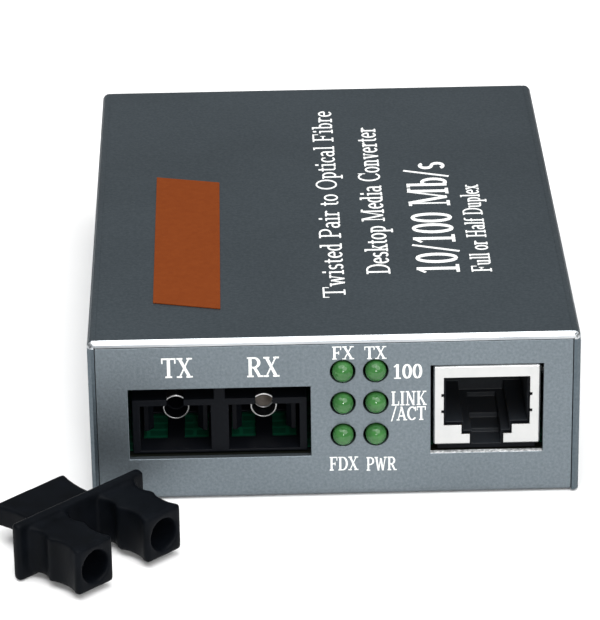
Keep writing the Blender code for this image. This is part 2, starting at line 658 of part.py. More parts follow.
# =============================================================== RJ45 socket
def plug_outline(inset, floor=None):
    """The stepped opening of an RJ45 socket whose clip points down, as (x, z).

    Given a floor, the outline has the clip's slot as well, down to it.
    """
    wide = PLUG_WIDTH / 2 - inset
    step = TAB_STEP_WIDTH / 2 - inset
    clip = CLIP_WIDTH / 2 - inset
    top = BOARD_TOP + PLUG_TOP - inset
    shelf = BOARD_TOP + PLUG_FLOOR + inset
    ledge = BOARD_TOP + TAB_STEP_FLOOR + inset
    right = [(wide, top), (wide, shelf), (step, shelf), (step, ledge)]
    if floor is not None:
        right += [(clip, ledge), (clip, floor)]
    left = [(-a, b) for a, b in reversed(right)]
    return [(JACK_X + a, b) for a, b in right + left]


def make_jack_shield():
    """The folded sheet round the RJ45 socket: face, top, sides and back."""
    half = JACK_WIDTH / 2
    sheet = SHIELD_SHEET
    top = BOARD_TOP + JACK_TOP
    low = BOARD_TOP + JACK_LIFT
    rear = JACK_FACE + JACK_DEPTH
    shield = piece("jack_shield", block((JACK_X - half, JACK_FACE, low), (JACK_X + half, rear, top), 0.25, 1),
                   "nickel", (JACK_X, JACK_FACE, low))
    hollow = block((JACK_X - half + sheet, JACK_FACE + sheet, low - 2),
                   (JACK_X + half - sheet, rear - sheet, top - sheet))
    combine(shield, hollow, "DIFFERENCE", "hollow")
    mouth = prism(plug_outline(0, low - 2), "Y", JACK_FACE - 1, JACK_FACE + 1)
    combine(shield, mouth, "DIFFERENCE", "mouth")
    deep, tall = NICK_SIZE
    nicks = []
    for side in (-1, 1):
        for height in NICK_PLACES:
            edge = JACK_X + side * PLUG_WIDTH / 2
            nicks.append(block((edge - deep, JACK_FACE - 1, BOARD_TOP + height - tall / 2),
                               (edge + deep, JACK_FACE + 1, BOARD_TOP + height + tall / 2)))
    combine(shield, merged(*nicks), "DIFFERENCE", "nicks")


def make_jack_insert():
    """The black moulding inside the shield, with the hollow that takes the plug."""
    half = JACK_WIDTH / 2 - SHIELD_SHEET - GAP
    face = JACK_FACE + SHIELD_SHEET + GAP
    rear = JACK_FACE + JACK_DEPTH - SHIELD_SHEET - GAP
    top = BOARD_TOP + JACK_TOP - SHIELD_SHEET - GAP
    insert = piece("jack_insert", block((JACK_X - half, face, ON_BOARD), (JACK_X + half, rear, top)),
                   "black_plastic", (JACK_X, face, ON_BOARD))
    mouth = prism(plug_outline(INSERT_INSET), "Y", face - 1, face + INSERT_CAVITY)
    combine(insert, mouth, "DIFFERENCE", "mouth")
    height = ON_BOARD + CLIP_SLOT_FLOOR
    slot = [(face - 1, height)]
    for depth, rise in CLIP_SLOT_STEPS:
        slot += [(face + depth, height), (face + depth, height + rise)]
        height += rise
    above = BOARD_TOP + TAB_STEP_FLOOR + INSERT_INSET + 0.5
    slot += [(face + CLIP_SLOT_DEPTH, height), (face + CLIP_SLOT_DEPTH, above), (face - 1, above)]
    half = CLIP_WIDTH / 2 - INSERT_INSET
    combine(insert, prism(slot, "X", JACK_X - half, JACK_X + half), "DIFFERENCE", "clip_slot")


def contact_pivot():
    """Place of the contacts' bend, which they spring about, as (y, z)."""
    top = BOARD_TOP + PLUG_TOP - INSERT_INSET
    return JACK_FACE + CONTACT_ROOT_BACK, top - GAP - CONTACT_WIRE / 2


def make_contacts():
    """Eight sprung wires that slope down and back from the roof of the socket."""
    y, z = contact_pivot()
    half = CONTACT_WIRE / 2
    slope = math.radians(CONTACT_SLOPE)
    dy = CONTACT_REACH * math.cos(slope)
    dz = -CONTACT_REACH * math.sin(slope)
    side_y = half * math.sin(slope)
    side_z = half * math.cos(slope)
    outline = [(y - CONTACT_LEVEL_RUN, z + half), (y - CONTACT_LEVEL_RUN, z - half), (y, z - half),
               (y + dy - side_y, z + dz - side_z), (y + dy + side_y, z + dz + side_z), (y + side_y, z + half)]
    for index in range(CONTACT_COUNT):
        x = JACK_X + (index - (CONTACT_COUNT - 1) / 2) * CONTACT_PITCH
        piece(f"jack_contact_{index + 1}", prism(outline, "X", x - half, x + half), "gold", (x, y, z))


# ===================================================================== lamps
def lamp_places():
    """Centres of the six lamps on the panel, as (x, z)."""
    places = []
    for row in (1, 0, -1):
        for column in (-0.5, 0.5):
            places.append((LAMP_COLUMN_X + column * LAMP_COLUMN_PITCH, LAMP_ROW_Z + row * LAMP_ROW_PITCH))
    return places


def make_lamps():
    """Six round-nosed lamps in a block that stands on the board behind the panel."""
    for index, (x, z) in enumerate(lamp_places()):
        base = FRONT + 0.1
        dome = [(math.sin(a) * LAMP_RADIUS, base - math.cos(a) * LAMP_RADIUS)
                for a in (math.radians(15 * step) for step in range(7))]
        dome[0] = (0, dome[0][1])
        back = base + LAMP_LENGTH
        profile = dome + [(LAMP_RADIUS, back - LAMP_FLANGE_DEPTH), (LAMP_FLANGE, back - LAMP_FLANGE_DEPTH),
                          (LAMP_FLANGE, back), (0, back)]
        piece(f"lamp_{index + 1}", turned(profile, (x, 0, z), "+Y", 28), "lamp_green", (x, FRONT, z), True)
    low_x = LAMP_COLUMN_X - LAMP_COLUMN_PITCH / 2 - LAMP_FLANGE - HOLDER_MARGIN
    high_x = LAMP_COLUMN_X + LAMP_COLUMN_PITCH / 2 + LAMP_FLANGE + HOLDER_MARGIN
    front = PANEL_INNER + GAP
    top = LAMP_ROW_Z + LAMP_ROW_PITCH + LAMP_FLANGE + HOLDER_MARGIN
    holder = piece("lamp_holder", block((low_x, front, ON_BOARD), (high_x, front + HOLDER_DEPTH, top)),
                   "black_plastic", (LAMP_COLUMN_X, front, ON_BOARD))
    holes = [rod((x, front, z), "+Y", LAMP_FLANGE + GAP, -1, HOLDER_DEPTH + 1, 24) for x, z in lamp_places()]
    combine(holder, merged(*holes), "DIFFERENCE", "lamp_holes")


# ================================================================ power jack
def make_power_jack():
    """The barrel jack behind the rear panel: moulding, centre pin and side spring."""
    rear = REAR_INNER - GAP
    axis_z = BOARD_TOP + POWER_AXIS
    half = POWER_WIDTH / 2
    shell = block((POWER_X - half, rear - POWER_DEPTH, ON_BOARD),
                  (POWER_X + half, rear, ON_BOARD + POWER_HEIGHT))
    body = piece("power_jack_body", shell, "black_plastic", (POWER_X, rear, axis_z))
    bore = rod((POWER_X, rear, axis_z), "-Y", POWER_BORE, -1, POWER_BORE_DEPTH, 32)
    combine(body, bore, "DIFFERENCE", "bore")
    slot_half = POWER_SPRING_WIDTH / 2 + GAP
    slot = block((POWER_X - slot_half, rear - POWER_BORE_DEPTH, axis_z - POWER_BORE - POWER_SLOT_DEPTH),
                 (POWER_X + slot_half, rear - 1.5, axis_z))
    combine(body, slot, "DIFFERENCE", "spring_slot")

    floor_y = rear - POWER_BORE_DEPTH + GAP
    tip = 0.4
    profile = [(0, floor_y), (POWER_PIN, floor_y), (POWER_PIN, floor_y + POWER_PIN_LENGTH - tip),
               (POWER_PIN - tip, floor_y + POWER_PIN_LENGTH), (0, floor_y + POWER_PIN_LENGTH)]
    piece("power_jack_pin", turned(profile, (POWER_X, 0, axis_z), "+Y", 24), "nickel",
          (POWER_X, floor_y, axis_z), True)

    root_z = axis_z - POWER_BORE + 0.1
    thick = POWER_SPRING_THICKNESS
    crest = rear - 4.0
    tip_y = rear - 2.2
    outline = [(floor_y, root_z), (crest, root_z + 0.75), (tip_y, root_z + 0.3),
               (tip_y, root_z + 0.3 - thick), (crest, root_z + 0.75 - thick), (floor_y, root_z - thick)]
    half = POWER_SPRING_WIDTH / 2
    piece("power_jack_spring", prism(outline, "X", POWER_X - half, POWER_X + half), "nickel",
          (POWER_X, floor_y, root_z - thick / 2))


# ========================================================== other components
def make_components():
    """The parts of the circuit that stand on the board."""
    low = ON_BOARD
    wide, deep, tall = TRANSFORMER_SIZE
    start = JACK_FACE + JACK_DEPTH + TRANSFORMER_SPACE
    piece("isolation_transformer",
          block((JACK_X - wide / 2, start, low), (JACK_X + wide / 2, start + deep, low + tall), 0.3, 1),
          "chip_epoxy", (JACK_X, start, low))

    half = CHIP_SIDE / 2
    y = MODULE_REAR + CHIP_BEHIND
    body = block((CHIP_X - half, y - half, low + 0.2), (CHIP_X + half, y + half, low + CHIP_HEIGHT), 0.2, 1)
    chip = piece("converter_chip", body, "chip_epoxy", (CHIP_X, y, low))
    half += CHIP_LEADS
    leads = block((CHIP_X - half, y - half, low), (CHIP_X + half, y + half, low + 0.5))
    combine(chip, leads, "UNION", "leads")

    wide, deep, tall = CRYSTAL_SIZE
    y = MODULE_REAR + CRYSTAL_BEHIND
    run = (wide - deep) / 2
    oval = arc((CRYSTAL_X + run, y), deep / 2, -90, 90, 8) + arc((CRYSTAL_X - run, y), deep / 2, 90, 270, 8)
    piece("crystal", prism(oval, "Z", low, low + tall), "nickel", (CRYSTAL_X, y, low), True)

    for index, (x, ahead, radius) in enumerate(CAPACITORS):
        y = REAR_INNER - ahead
        top = low + CAPACITOR_HEIGHT
        groove = CAPACITOR_GROOVE
        profile = [(0, low), (radius, low), (radius, low + 2 * groove), (radius - groove, low + 3 * groove),
                   (radius, low + 4 * groove), (radius, top - groove), (radius - groove, top), (0, top)]
        piece(f"capacitor_{index + 1}", turned(profile, (x, y, 0), "+Z", 28), "can_sleeve", (x, y, low), True)

    wide, deep, tall = REGULATOR_SIZE
    x, y = REGULATOR_X, REAR_INNER - REGULATOR_AHEAD
    body = block((x - wide / 2, y - deep / 2, low + 0.1), (x + wide / 2, y + deep / 2, low + tall), 0.15, 1)
    regulator = piece("voltage_regulator", body, "chip_epoxy", (x, y, low))
    half = REGULATOR_LEAD / 2
    combine(regulator, block((x - half, y - deep, low), (x + half, y + deep, low + 0.4)), "UNION", "leads")

    radius, neck, flange = INDUCTOR_RADIUS, INDUCTOR_NECK, INDUCTOR_FLANGE
    top = low + INDUCTOR_HEIGHT
    y = REAR_INNER - INDUCTOR_AHEAD
    slope = radius - neck
    profile = [(0, low), (radius, low), (radius, low + flange), (neck, low + flange + slope / 2),
               (neck, top - flange - slope / 2), (radius, top - flange), (radius, top), (0, top)]
    shape = turned(profile, (INDUCTOR_X, y, 0), "+Z", 28)
    piece("power_inductor", shape, "chip_epoxy", (INDUCTOR_X, y, low), True)


# ================================================================= dust plug
def bulge(depth, half_run):
    """Radius of an arc of that depth over a chord, and the half angle that it spans in degrees."""
    radius = (half_run * half_run + depth * depth) / (2 * depth)
    return radius, math.degrees(math.asin(half_run / radius))


def prong_outline(middle):
    """Plan of one prong, each side scooped out twice with a rib between, as (x, y)."""
    wide = PRONG_WIDTH / 2
    right = [(wide, PLUG_PLATE_THICKNESS / 2)]
    for near, far, depth in PRONG_SCOOPS:
        radius, swing = bulge(depth, (far - near) / 2)
        right += arc((wide - depth + radius, -(near + far) / 2), radius, 180 - swing, 180 + swing, 8)
    corner = PRONG_CORNER
    right += arc((wide - corner, corner - PRONG_LENGTH), corner, 0, -90, 3)
    left = [(-a, b) for a, b in reversed(right)]
    return [(middle + a, b) for a, b in right + left]


def make_dust_plug():
    """Two hollow prongs on a plate with a grip behind, lying flat on the table."""
    base = PLUG_PLATE_HEIGHT / 2
    back = PRONG_LENGTH
    half = PLUG_PLATE_WIDTH / 2
    plate = block((-half, 0, 0), (half, PLUG_PLATE_THICKNESS, PLUG_PLATE_HEIGHT), 0.35, 2)
    plug = piece("dust_plug", plate, "black_rubber")
    prongs = []
    holes = []
    for side in (-1, 1):
        middle = side * PORT_PITCH / 2
        prongs.append(prism(prong_outline(middle), "Z", base - PRONG_HEIGHT / 2, base + PRONG_HEIGHT / 2))
        holes.append(rod((middle, -back, base), "+Y", PRONG_HOLE, -1, PRONG_HOLE_DEPTH, 28))
    combine(plug, merged(*prongs), "UNION", "prongs")
    start = PLUG_PLATE_THICKNESS - 0.5
    end = PLUG_PLATE_THICKNESS + GRIP_LENGTH
    wide = GRIP_WIDTH / 2
    waist = GRIP_WAIST / 2
    radius, swing = bulge(wide - waist, (end - start) / 2)
    right = arc((waist + radius, (start + end) / 2), radius, 180 + swing, 180 - swing, 6)
    outline = right + [(-a, b) for a, b in reversed(right)]
    grip = prism(outline, "Z", base - GRIP_THICKNESS / 2, base + GRIP_THICKNESS / 2)
    combine(plug, grip, "UNION", "grip")
    combine(plug, merged(*holes), "DIFFERENCE", "holes")
    holder = bpy.data.objects.new("dust_plug_place", None)
    bpy.context.scene.collection.objects.link(holder)
    turn = math.radians(PLUG_TURN)
    plate_x = PLUG_INWARD - CASE_WIDTH / 2 - PRONG_LENGTH * math.sin(turn)
    plate_y = FRONT - PLUG_AHEAD + PRONG_LENGTH * math.cos(turn)
    holder.location = (plate_x * MM, plate_y * MM, 0)
    holder.rotation_euler = (0, 0, turn)
    for item in bpy.data.objects:
        if item.name.startswith("dust_plug") and item is not holder:
            item.parent = holder


def main():
    for item in list(bpy.data.objects):
        bpy.data.objects.remove(item, do_unlink=True)
    make_cover()
    make_tray()
    make_cover_screws()
    make_label()
    make_board()
    make_board_fixings()
    make_socket()
    make_latch_arms()
    make_optics()
    make_module()
    make_jack_shield()
    make_jack_insert()
    make_contacts()
    make_lamps()
    make_power_jack()
    make_components()
    make_dust_plug()


main()
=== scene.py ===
import math

import bmesh
import bpy
from mathutils import Matrix, Vector
from mathutils.geometry import convex_hull_2d, delaunay_2d_cdt


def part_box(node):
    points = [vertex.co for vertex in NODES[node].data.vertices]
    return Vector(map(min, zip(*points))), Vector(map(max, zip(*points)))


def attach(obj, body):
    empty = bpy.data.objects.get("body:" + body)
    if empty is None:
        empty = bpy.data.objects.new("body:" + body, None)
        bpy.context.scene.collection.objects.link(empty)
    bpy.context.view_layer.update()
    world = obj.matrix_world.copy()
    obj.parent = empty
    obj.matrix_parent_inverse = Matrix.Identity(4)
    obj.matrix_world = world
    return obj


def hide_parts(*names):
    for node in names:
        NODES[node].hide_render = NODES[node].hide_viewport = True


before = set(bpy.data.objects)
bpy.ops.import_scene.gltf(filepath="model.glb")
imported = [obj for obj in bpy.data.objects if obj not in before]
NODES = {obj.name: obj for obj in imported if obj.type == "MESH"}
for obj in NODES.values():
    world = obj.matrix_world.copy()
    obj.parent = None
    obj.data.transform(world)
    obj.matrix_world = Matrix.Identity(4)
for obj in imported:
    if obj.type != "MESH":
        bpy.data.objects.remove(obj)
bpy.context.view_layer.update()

MM = 0.001

# ------------------------------------------------------------------- the case
TRAY_LOW, TRAY_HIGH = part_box("base_tray")
COVER_SHEET = 0.8 * MM
COVER_GAP = 0.3 * MM    # between the cover's inner faces and the tray
PAINT_FILL = 0.2 * MM   # of that gap, taken up by the paint
INNER_SIDE = TRAY_HIGH.x + COVER_GAP
INNER_TOP = TRAY_HIGH.z + COVER_GAP
RIM_LEVEL = TRAY_HIGH.z         # foot of the rim's painted highlight at the cover's corners
RIM_DEPTH = 1.1 * MM            # of painted highlight behind the case's front and rear edges
RIM_START = TRAY_HIGH.y - RIM_DEPTH
RIM_FACING = 0.3        # least share of a rim face's normal that points to the front or rear
SILL_FACING = 0.6       # the same, upwards, for the sill of the jack's window
SILL_MARGIN = 1.0 * MM  # of sill to the left of the jack
SHIELD_FOLD = 0.6       # mm, radius of the bends in the jack's shield

# ------------------------------------------------------- boards, lamps, rubber
SHADED_MARGIN = 1.5 * MM  # of board along its front edge, painted near-black as shade
LAMPS = 6
LAMP_LIP = 0.4 * MM     # of a lamp's foot beyond its barrel
LAMP_FOOT = 1.0 * MM    # thickness of that foot
DOME_RINGS = 12
LAMP_SIDES = 40
LAMP_CREASE = math.radians(40)
RUBBER_GRID = 0.28 * MM
RUBBER_PASSES = 14      # of smoothing, which rounds the plug's edges

# ------------------------------------------------------------------------ ink
INK_GAP = 0.004 * MM    # so that ink and paint never share a face
INK_FILM = 0.02 * MM    # of screen-printed ink
LEGEND_WEIGHT = 0.17    # of the pen, as a share of the letter's size
TOP_PRINT_WEIGHT = 0.15
PEN_THIN = 0.04         # half the height of a level stroke, as a share of a capital's
ARC_STEP = 15           # degrees between the points of a round stroke, which has six steps or more
INK_MERGE = 1e-8        # m, under which two points of the print are one

# ------------------------------------------------------------------- meshwork
SAME = 1e-6             # m, under which two corners are one
FLAT = math.radians(0.6)        # under which two faces are one
INK_FLAT = math.radians(0.5)
CORNER = math.radians(30)       # over which an edge is a corner to round
SKIN_CHANGE = 0.04      # share of a node's surface that rounding its corners may take off
NEAR = 0.05 * MM        # how close a corner is to the place it is looked for
SIDEWAYS = 0.5          # under which share of its normal a face doesn't look along an axis
FACING = 0.9            # and over which it does


# ================================================================== camera
def make_camera():
    """A long lens, a little above the ports and almost square to them."""
    turn = math.radians(-0.94)
    rise = math.radians(25.36)
    roll = math.radians(-0.82)
    distance = 562.7 * MM
    target = Vector((-4.19, -11.4, 13.0)) * MM
    back = Vector((math.sin(turn) * math.cos(rise), -math.cos(turn) * math.cos(rise), math.sin(rise)))
    level = (-back).cross(Vector((0, 0, 1))).normalized()
    upright = level.cross(-back)
    right = math.cos(roll) * level + math.sin(roll) * upright
    up = math.cos(roll) * upright - math.sin(roll) * level
    data = bpy.data.cameras.new("view")
    data.lens = 215.94
    data.sensor_width = 36.0
    data.clip_start = 0.01
    camera = bpy.data.objects.new("view", data)
    bpy.context.scene.collection.objects.link(camera)
    turned = Matrix((right, up, back)).transposed().to_4x4()
    camera.matrix_world = Matrix.Translation(target + back * distance) @ turned
    bpy.context.scene.camera = camera


# ============================================================ material tools
def linear(code):
    """Turn an sRGB hex colour into the linear numbers that a shader takes."""
    numbers = [int(code[at:at + 2], 16) / 255 for at in (0, 2, 4)]
    return (*[v / 12.92 if v <= 0.04045 else ((v + 0.055) / 1.055) ** 2.4 for v in numbers], 1.0)


def add(tree, kind, settings=None, links=None):
    """Add a node, with its properties, sockets and ramp stops set and its links made."""
    node = tree.nodes.new(kind)
    for key, value in (settings or {}).items():
        if key == "stops":
            band = node.color_ramp
            while len(band.elements) < len(value):
                band.elements.new(0.5)
            for element, (at, code) in zip(band.elements, value):
                element.position = at
                element.color = linear(code)
        elif isinstance(key, str) and hasattr(node, key):
            setattr(node, key, value)
        else:
            node.inputs[key].default_value = value
    for key, source in (links or {}).items():
        tree.links.new(source, node.inputs[key])
    return node


def finish(name, roughness, size, stops, detail=3.0, stretch=(1, 1, 1), spread=0.0, depth=0.0, **sockets):
    """A finish whose colour follows noise with lumps of the given size in millimetres.

    Its roughness spreads to both sides by the same noise, which also lifts the surface by the depth
    in millimetres.
    """
    made = bpy.data.materials.new(name)
    made.use_nodes = True
    tree = made.node_tree
    shader = tree.nodes["Principled BSDF"]
    shader.inputs["Roughness"].default_value = roughness
    for key, value in sockets.items():
        shader.inputs[key.replace("_", " ")].default_value = value
    place = add(tree, "ShaderNodeTexCoord").outputs["Object"]
    drawn = add(tree, "ShaderNodeMapping", {"Scale": stretch}, {"Vector": place}).outputs["Vector"]
    grain = add(tree, "ShaderNodeTexNoise", {"Scale": 1 / (size * MM), "Detail": detail, "Roughness": 0.6},
                {"Vector": drawn}).outputs["Fac"]
    colour = add(tree, "ShaderNodeValToRGB", {"stops": stops}, {"Fac": grain}).outputs["Color"]
    tree.links.new(colour, shader.inputs["Base Color"])
    if spread:
        rough = add(tree, "ShaderNodeMapRange", {"To Min": roughness - spread, "To Max": roughness + spread},
                    {"Value": grain})
        tree.links.new(rough.outputs["Result"], shader.inputs["Roughness"])
    if depth:
        raised = add(tree, "ShaderNodeBump", {"Strength": 0.6, "Distance": depth * MM}, {"Height": grain})
        tree.links.new(raised.outputs["Normal"], shader.inputs["Normal"])
    return made


# ================================================================ materials
def powder_coat(name, dark, middle, light):
    """Metallic-grey powder coating on steel: satin, a fine grit of darker and lighter flakes.

    A broad, faint cloud over the grit is where the coat went on thicker.
    """
    cloud_size = 26.0 * MM
    made = finish(name, 0.4, 0.42, [(0.30, dark), (0.52, middle), (0.78, light)], depth=0.05, Metallic=0.8)
    tree = made.node_tree
    shader = tree.nodes["Principled BSDF"]
    place = add(tree, "ShaderNodeTexCoord").outputs["Object"]
    cloud = add(tree, "ShaderNodeTexNoise", {"Scale": 1 / cloud_size}, {"Vector": place}).outputs["Fac"]
    wash = add(tree, "ShaderNodeValToRGB", {"stops": [(0.3, "adadad"), (0.7, "c8c8c8")]}, {"Fac": cloud})
    mixed = add(tree, "ShaderNodeMix", {"data_type": "RGBA", "blend_type": "SOFT_LIGHT", 0: 0.5},
                {6: shader.inputs["Base Color"].links[0].from_socket, 7: wash.outputs["Color"]})
    tree.links.new(mixed.outputs[2], shader.inputs["Base Color"])
    return made


def solder_mask():
    """Solder mask over copper on glass-epoxy board: deep green gloss, lighter where tracks run under it."""
    track_pitch = 4.2 * MM
    copper_height = 0.035 * MM
    made = finish("solder_mask_green", 0.28, 1.2, [(0.3, "083726"), (0.7, "0a4330")], Coat_Weight=0.3,
                  Coat_Roughness=0.15)
    tree = made.node_tree
    shader = tree.nodes["Principled BSDF"]
    place = add(tree, "ShaderNodeTexCoord").outputs["Object"]
    tracks = add(tree, "ShaderNodeTexBrick",
                 {"Scale": 1 / track_pitch, "Brick Width": 1.6, "Row Height": 0.5,
                  "Mortar Size": 0.06, "Mortar Smooth": 0.1,
                  "Color1": (0, 0, 0, 1), "Color2": (0, 0, 0, 1), "Mortar": (1, 1, 1, 1)},
                 {"Vector": place}).outputs["Fac"]
    mixed = add(tree, "ShaderNodeMix", {"data_type": "RGBA", 7: linear("12583f")},
                {0: tracks, 6: shader.inputs["Base Color"].links[0].from_socket})
    tree.links.new(mixed.outputs[2], shader.inputs["Base Color"])
    raised = add(tree, "ShaderNodeBump", {"Strength": 0.8, "Distance": copper_height}, {"Height": tracks})
    tree.links.new(raised.outputs["Normal"], shader.inputs["Normal"])
    return made


def make_materials():
    """All the finishes, by the name of the slot each one belongs to."""
    return {
        "cover_paint": powder_coat("metallic_grey_powder_coat", "4c575d", "555f66", "5f6a70"),
        # The panel carries the cover's coat, painted lighter as painted light on the front face: a lit copy
        # of that coat.
        "panel_paint": powder_coat("panel_coat_painted_light", "666f74", "6f787e", "798288"),
        "board_green": solder_mask(),
        # Bright steel on the cover's front and rear top edges, a painted highlight along them: drawn in long
        # scratches.
        "bare_rim": finish("painted_highlight_steel_rim", 0.35, 0.5, [(0.3, "9a9fa4"), (0.7, "c9ccce")],
                           stretch=(0.05, 1, 1), spread=0.09, depth=0.006, Metallic=1.0),
        # The punched edge of the jack window's sill, made pale as a painted highlight: torn, more white than
        # mirror.
        "cut_edge": finish("sill_steel_painted_highlight", 0.6, 0.6, [(0.35, "8f9396"), (0.65, "eceeee")],
                           spread=0.1, depth=0.02, Metallic=0.2),
        # Coated label stock: matt orange, with a faint mottle where the ink took.
        "orange_paper": finish("orange_label_paper", 0.62, 0.9, [(0.25, "6c300d"), (0.5, "70330f"),
                               (0.8, "753712")], depth=0.008, Specular_IOR_Level=0.1),
        # Moulded polyester: near-black, with the faint texture of a spark-eroded mould.
        "black_plastic": finish("moulded_black_polyester", 0.42, 0.35, [(0.3, "0b0d11"), (0.7, "0f1115")],
                                spread=0.09, depth=0.012, Specular_IOR_Level=0.06),
        # The same resin, filled: a shade greyer.
        "jack_plastic": finish("moulded_filled_polyester", 0.5, 0.35, [(0.3, "191c20"), (0.7, "202429")],
                               spread=0.09, depth=0.012, Specular_IOR_Level=0.3),
        # Nickel on drawn brass sheet: clean, nearly white, hardly any grain.
        "nickel": finish("nickel_plated_sheet", 0.3, 2.4, [(0.3, "c4c5c4"), (0.7, "cccccb")],
                         spread=0.03, Metallic=1.0),
        # Gold flash on spring bronze: warm, smooth, drawn along the wire.
        "gold": finish("gold_plated_bronze", 0.25, 0.3, [(0.3, "c08a3a"), (0.7, "e8bd6a")],
                       stretch=(1, 0.1, 1), spread=0.08, Metallic=1.0),
        # Painted light down the receiving sleeve's bore: satin, pale and faintly warm.
        "bore_lining": finish("bore_painted_light", 0.45, 0.9, [(0.3, "c6bdb5"), (0.7, "ddd4cc")],
                              spread=0.05, Metallic=0.35),
        # Ground zirconia: white, polished, faintly warm.
        "ceramic": finish("ground_zirconia", 0.14, 0.8, [(0.3, "e4e1d8"), (0.7, "f2f0ea")],
                          Subsurface_Weight=0.15, Subsurface_Scale=0.0005),
        # Tinted epoxy of a lamp that is off: leaf green all through, satin, with a wet pinpoint of light.
        "lamp_green": finish("diffused_green_epoxy", 0.38, 1.6, [(0.3, "2d5c2e"), (0.7, "3b7039")],
                             Coat_Weight=0.8, Coat_Roughness=0.08, Specular_IOR_Level=0.0),
        # Zinc on turned steel: grey-white, slightly uneven, neither mirror nor matt.
        "screw_steel": finish("zinc_plated_steel", 0.32, 0.4, [(0.3, "9fa2a4"), (0.7, "c6c8c8")],
                              spread=0.1, depth=0.006, Metallic=1.0),
        # Soft moulded rubber: black, dull, bloomed slightly grey in patches.
        "black_rubber": finish("moulded_black_rubber", 0.5, 3.2, [(0.3, "05070a"), (0.75, "0b0e13")],
                               detail=4.0, spread=0.12, depth=0.02, Specular_IOR_Level=0.05),
        # Chip packages: filled epoxy, flat dark grey with a sandy surface.
        "chip_epoxy": finish("black_chip_epoxy", 0.6, 0.2, [(0.3, "121214"), (0.7, "1a1a1c")],
                             spread=0.08, depth=0.012, Specular_IOR_Level=0.25),
        # Heat-shrunk sleeve: dark blue, glossy, drawn tight.
        "can_sleeve": finish("dark_blue_shrink_sleeve", 0.3, 0.8, [(0.3, "131a30"), (0.7, "1a213a")],
                             spread=0.06, depth=0.01, Specular_IOR_Level=0.4),
        # The boards' sawn edges and front margin, painted near-black as the shade at the front of the case:
        # dull, green-black, in thin level plies.
        "board_edge": finish("pcb_edge_painted_shade", 0.7, 0.3, [(0.3, "090c08"), (0.7, "10140d")],
                             stretch=(0.2, 0.2, 1), depth=0.02, Specular_IOR_Level=0.15),
        # Screen-printed ink: an opaque white film with slightly uneven cover.
        "white_ink": finish("white_screen_ink", 0.55, 0.35, [(0.25, "d4d7d6"), (0.6, "f4f5f3")],
                            Specular_IOR_Level=0.3),
        # A pale studio sheet, all but even.
        "table_top": finish("pale_studio_sheet", 0.9, 40.0, [(0.3, "f5f5f5"), (0.7, "f7f7f7")],
                            Specular_IOR_Level=0.1),
    }


# =================================================================== pieces
def piece(name, shape, finishes, body, smooth=True):
    """Turn a bmesh in metres into a piece of the visual model that rides on a body.

    A wide face that goes round a window is cut into triangles first, so that it always fills the same way.
    """
    bmesh.ops.triangulate(shape, faces=[face for face in shape.faces if len(face.verts) > 4])
    mesh = bpy.data.meshes.new(name)
    shape.to_mesh(mesh)
    shape.free()
    if smooth:
        mesh.shade_smooth()
    made = bpy.data.objects.new(name, mesh)
    bpy.context.scene.collection.objects.link(made)
    for each in finishes:
        mesh.materials.append(FINISH[each])
    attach(made, body)
    return made


def copied(node):
    """The merged solid of a CAD node, with each flat side in as few faces as it takes."""
    shape = bmesh.new()
    shape.from_mesh(NODES[node].data)
    bmesh.ops.remove_doubles(shape, verts=shape.verts, dist=SAME)
    bmesh.ops.dissolve_limit(shape, angle_limit=FLAT, verts=shape.verts, edges=shape.edges)
    return shape


def parted(shape, place, facing):
    """Cut a shape's faces where they cross a plane, and keep both sides."""
    bmesh.ops.bisect_plane(shape, geom=shape.verts[:] + shape.edges[:] + shape.faces[:],
                           plane_co=place, plane_no=facing)


def surface(shape):
    """The area of a shape's whole surface, measured on its triangles."""
    cut = shape.copy()
    bmesh.ops.triangulate(cut, faces=cut.faces)
    whole = sum(face.calc_area() for face in cut.faces)
    cut.free()
    return whole


def softened(node, radius, finishes, fold=0.0, level=None):
    """A copy of a node of the case whose corners are rounded as a press, mould or paint film leaves them.

    The radius and the fold are in millimetres.  A fold is the larger radius of the node's outermost
    corners along Y, where sheet is bent round.  A level is a height at which its faces are parted,
    so that a finish can end there.  A shape that rounding would spoil keeps its sharp corners.
    """
    shape = copied(node)
    before = surface(shape)
    if level:
        parted(shape, (0, 0, level), (0, 0, 1))
    if fold:
        low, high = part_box(node)
        outermost = [edge for edge in shape.edges if all(
            min(abs(vert.co[axis] - low[axis]), abs(vert.co[axis] - high[axis])) < NEAR
            for vert in edge.verts for axis in (0, 2))]
        bmesh.ops.bevel(shape, geom=outermost, offset=fold * MM, offset_type="OFFSET", segments=4,
                        profile=0.5, affect="EDGES", material=-1)
    corners = [edge for edge in shape.edges
               if edge.is_manifold and edge.calc_face_angle() > CORNER]
    bmesh.ops.bevel(shape, geom=corners, offset=radius * MM, offset_type="OFFSET", segments=2,
                    profile=0.5, affect="EDGES", material=-1, clamp_overlap=True)
    if abs(surface(shape) / before - 1) > SKIN_CHANGE:
        shape = copied(node)
    made = piece(f"{node}_finished", shape, finishes, "case")
    made.modifiers.new("even_shading", "WEIGHTED_NORMAL")
    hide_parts(node)
    return made


def recoloured(made, wanted):
    """Give a piece's second finish to the faces that are wanted."""
    for face in made.data.polygons:
        if wanted(face):
            face.material_index = 1


# ================================================================= lettering
# A letter is drawn on a square whose side is the height of a capital.  It is a width
# and a list of pen strokes, each a weight and the points that the pen passes.
# The pen is broad from side to side and thin from top to bottom, so that upright
# strokes come out heavy and level ones light, as in a slab-serif face.
FOOT = 0.04             # middle of a level stroke that stands on the line
HEAD = 0.96             # middle of a level stroke at a capital's top
WAIST = 0.62            # middle of a level stroke at a small letter's top
SMALL = 0.66            # height of a small letter


def stem(x, low=0.0, high=1.0, weight=1.0):
    """An upright stroke."""
    return weight, [(x, low), (x, high)]


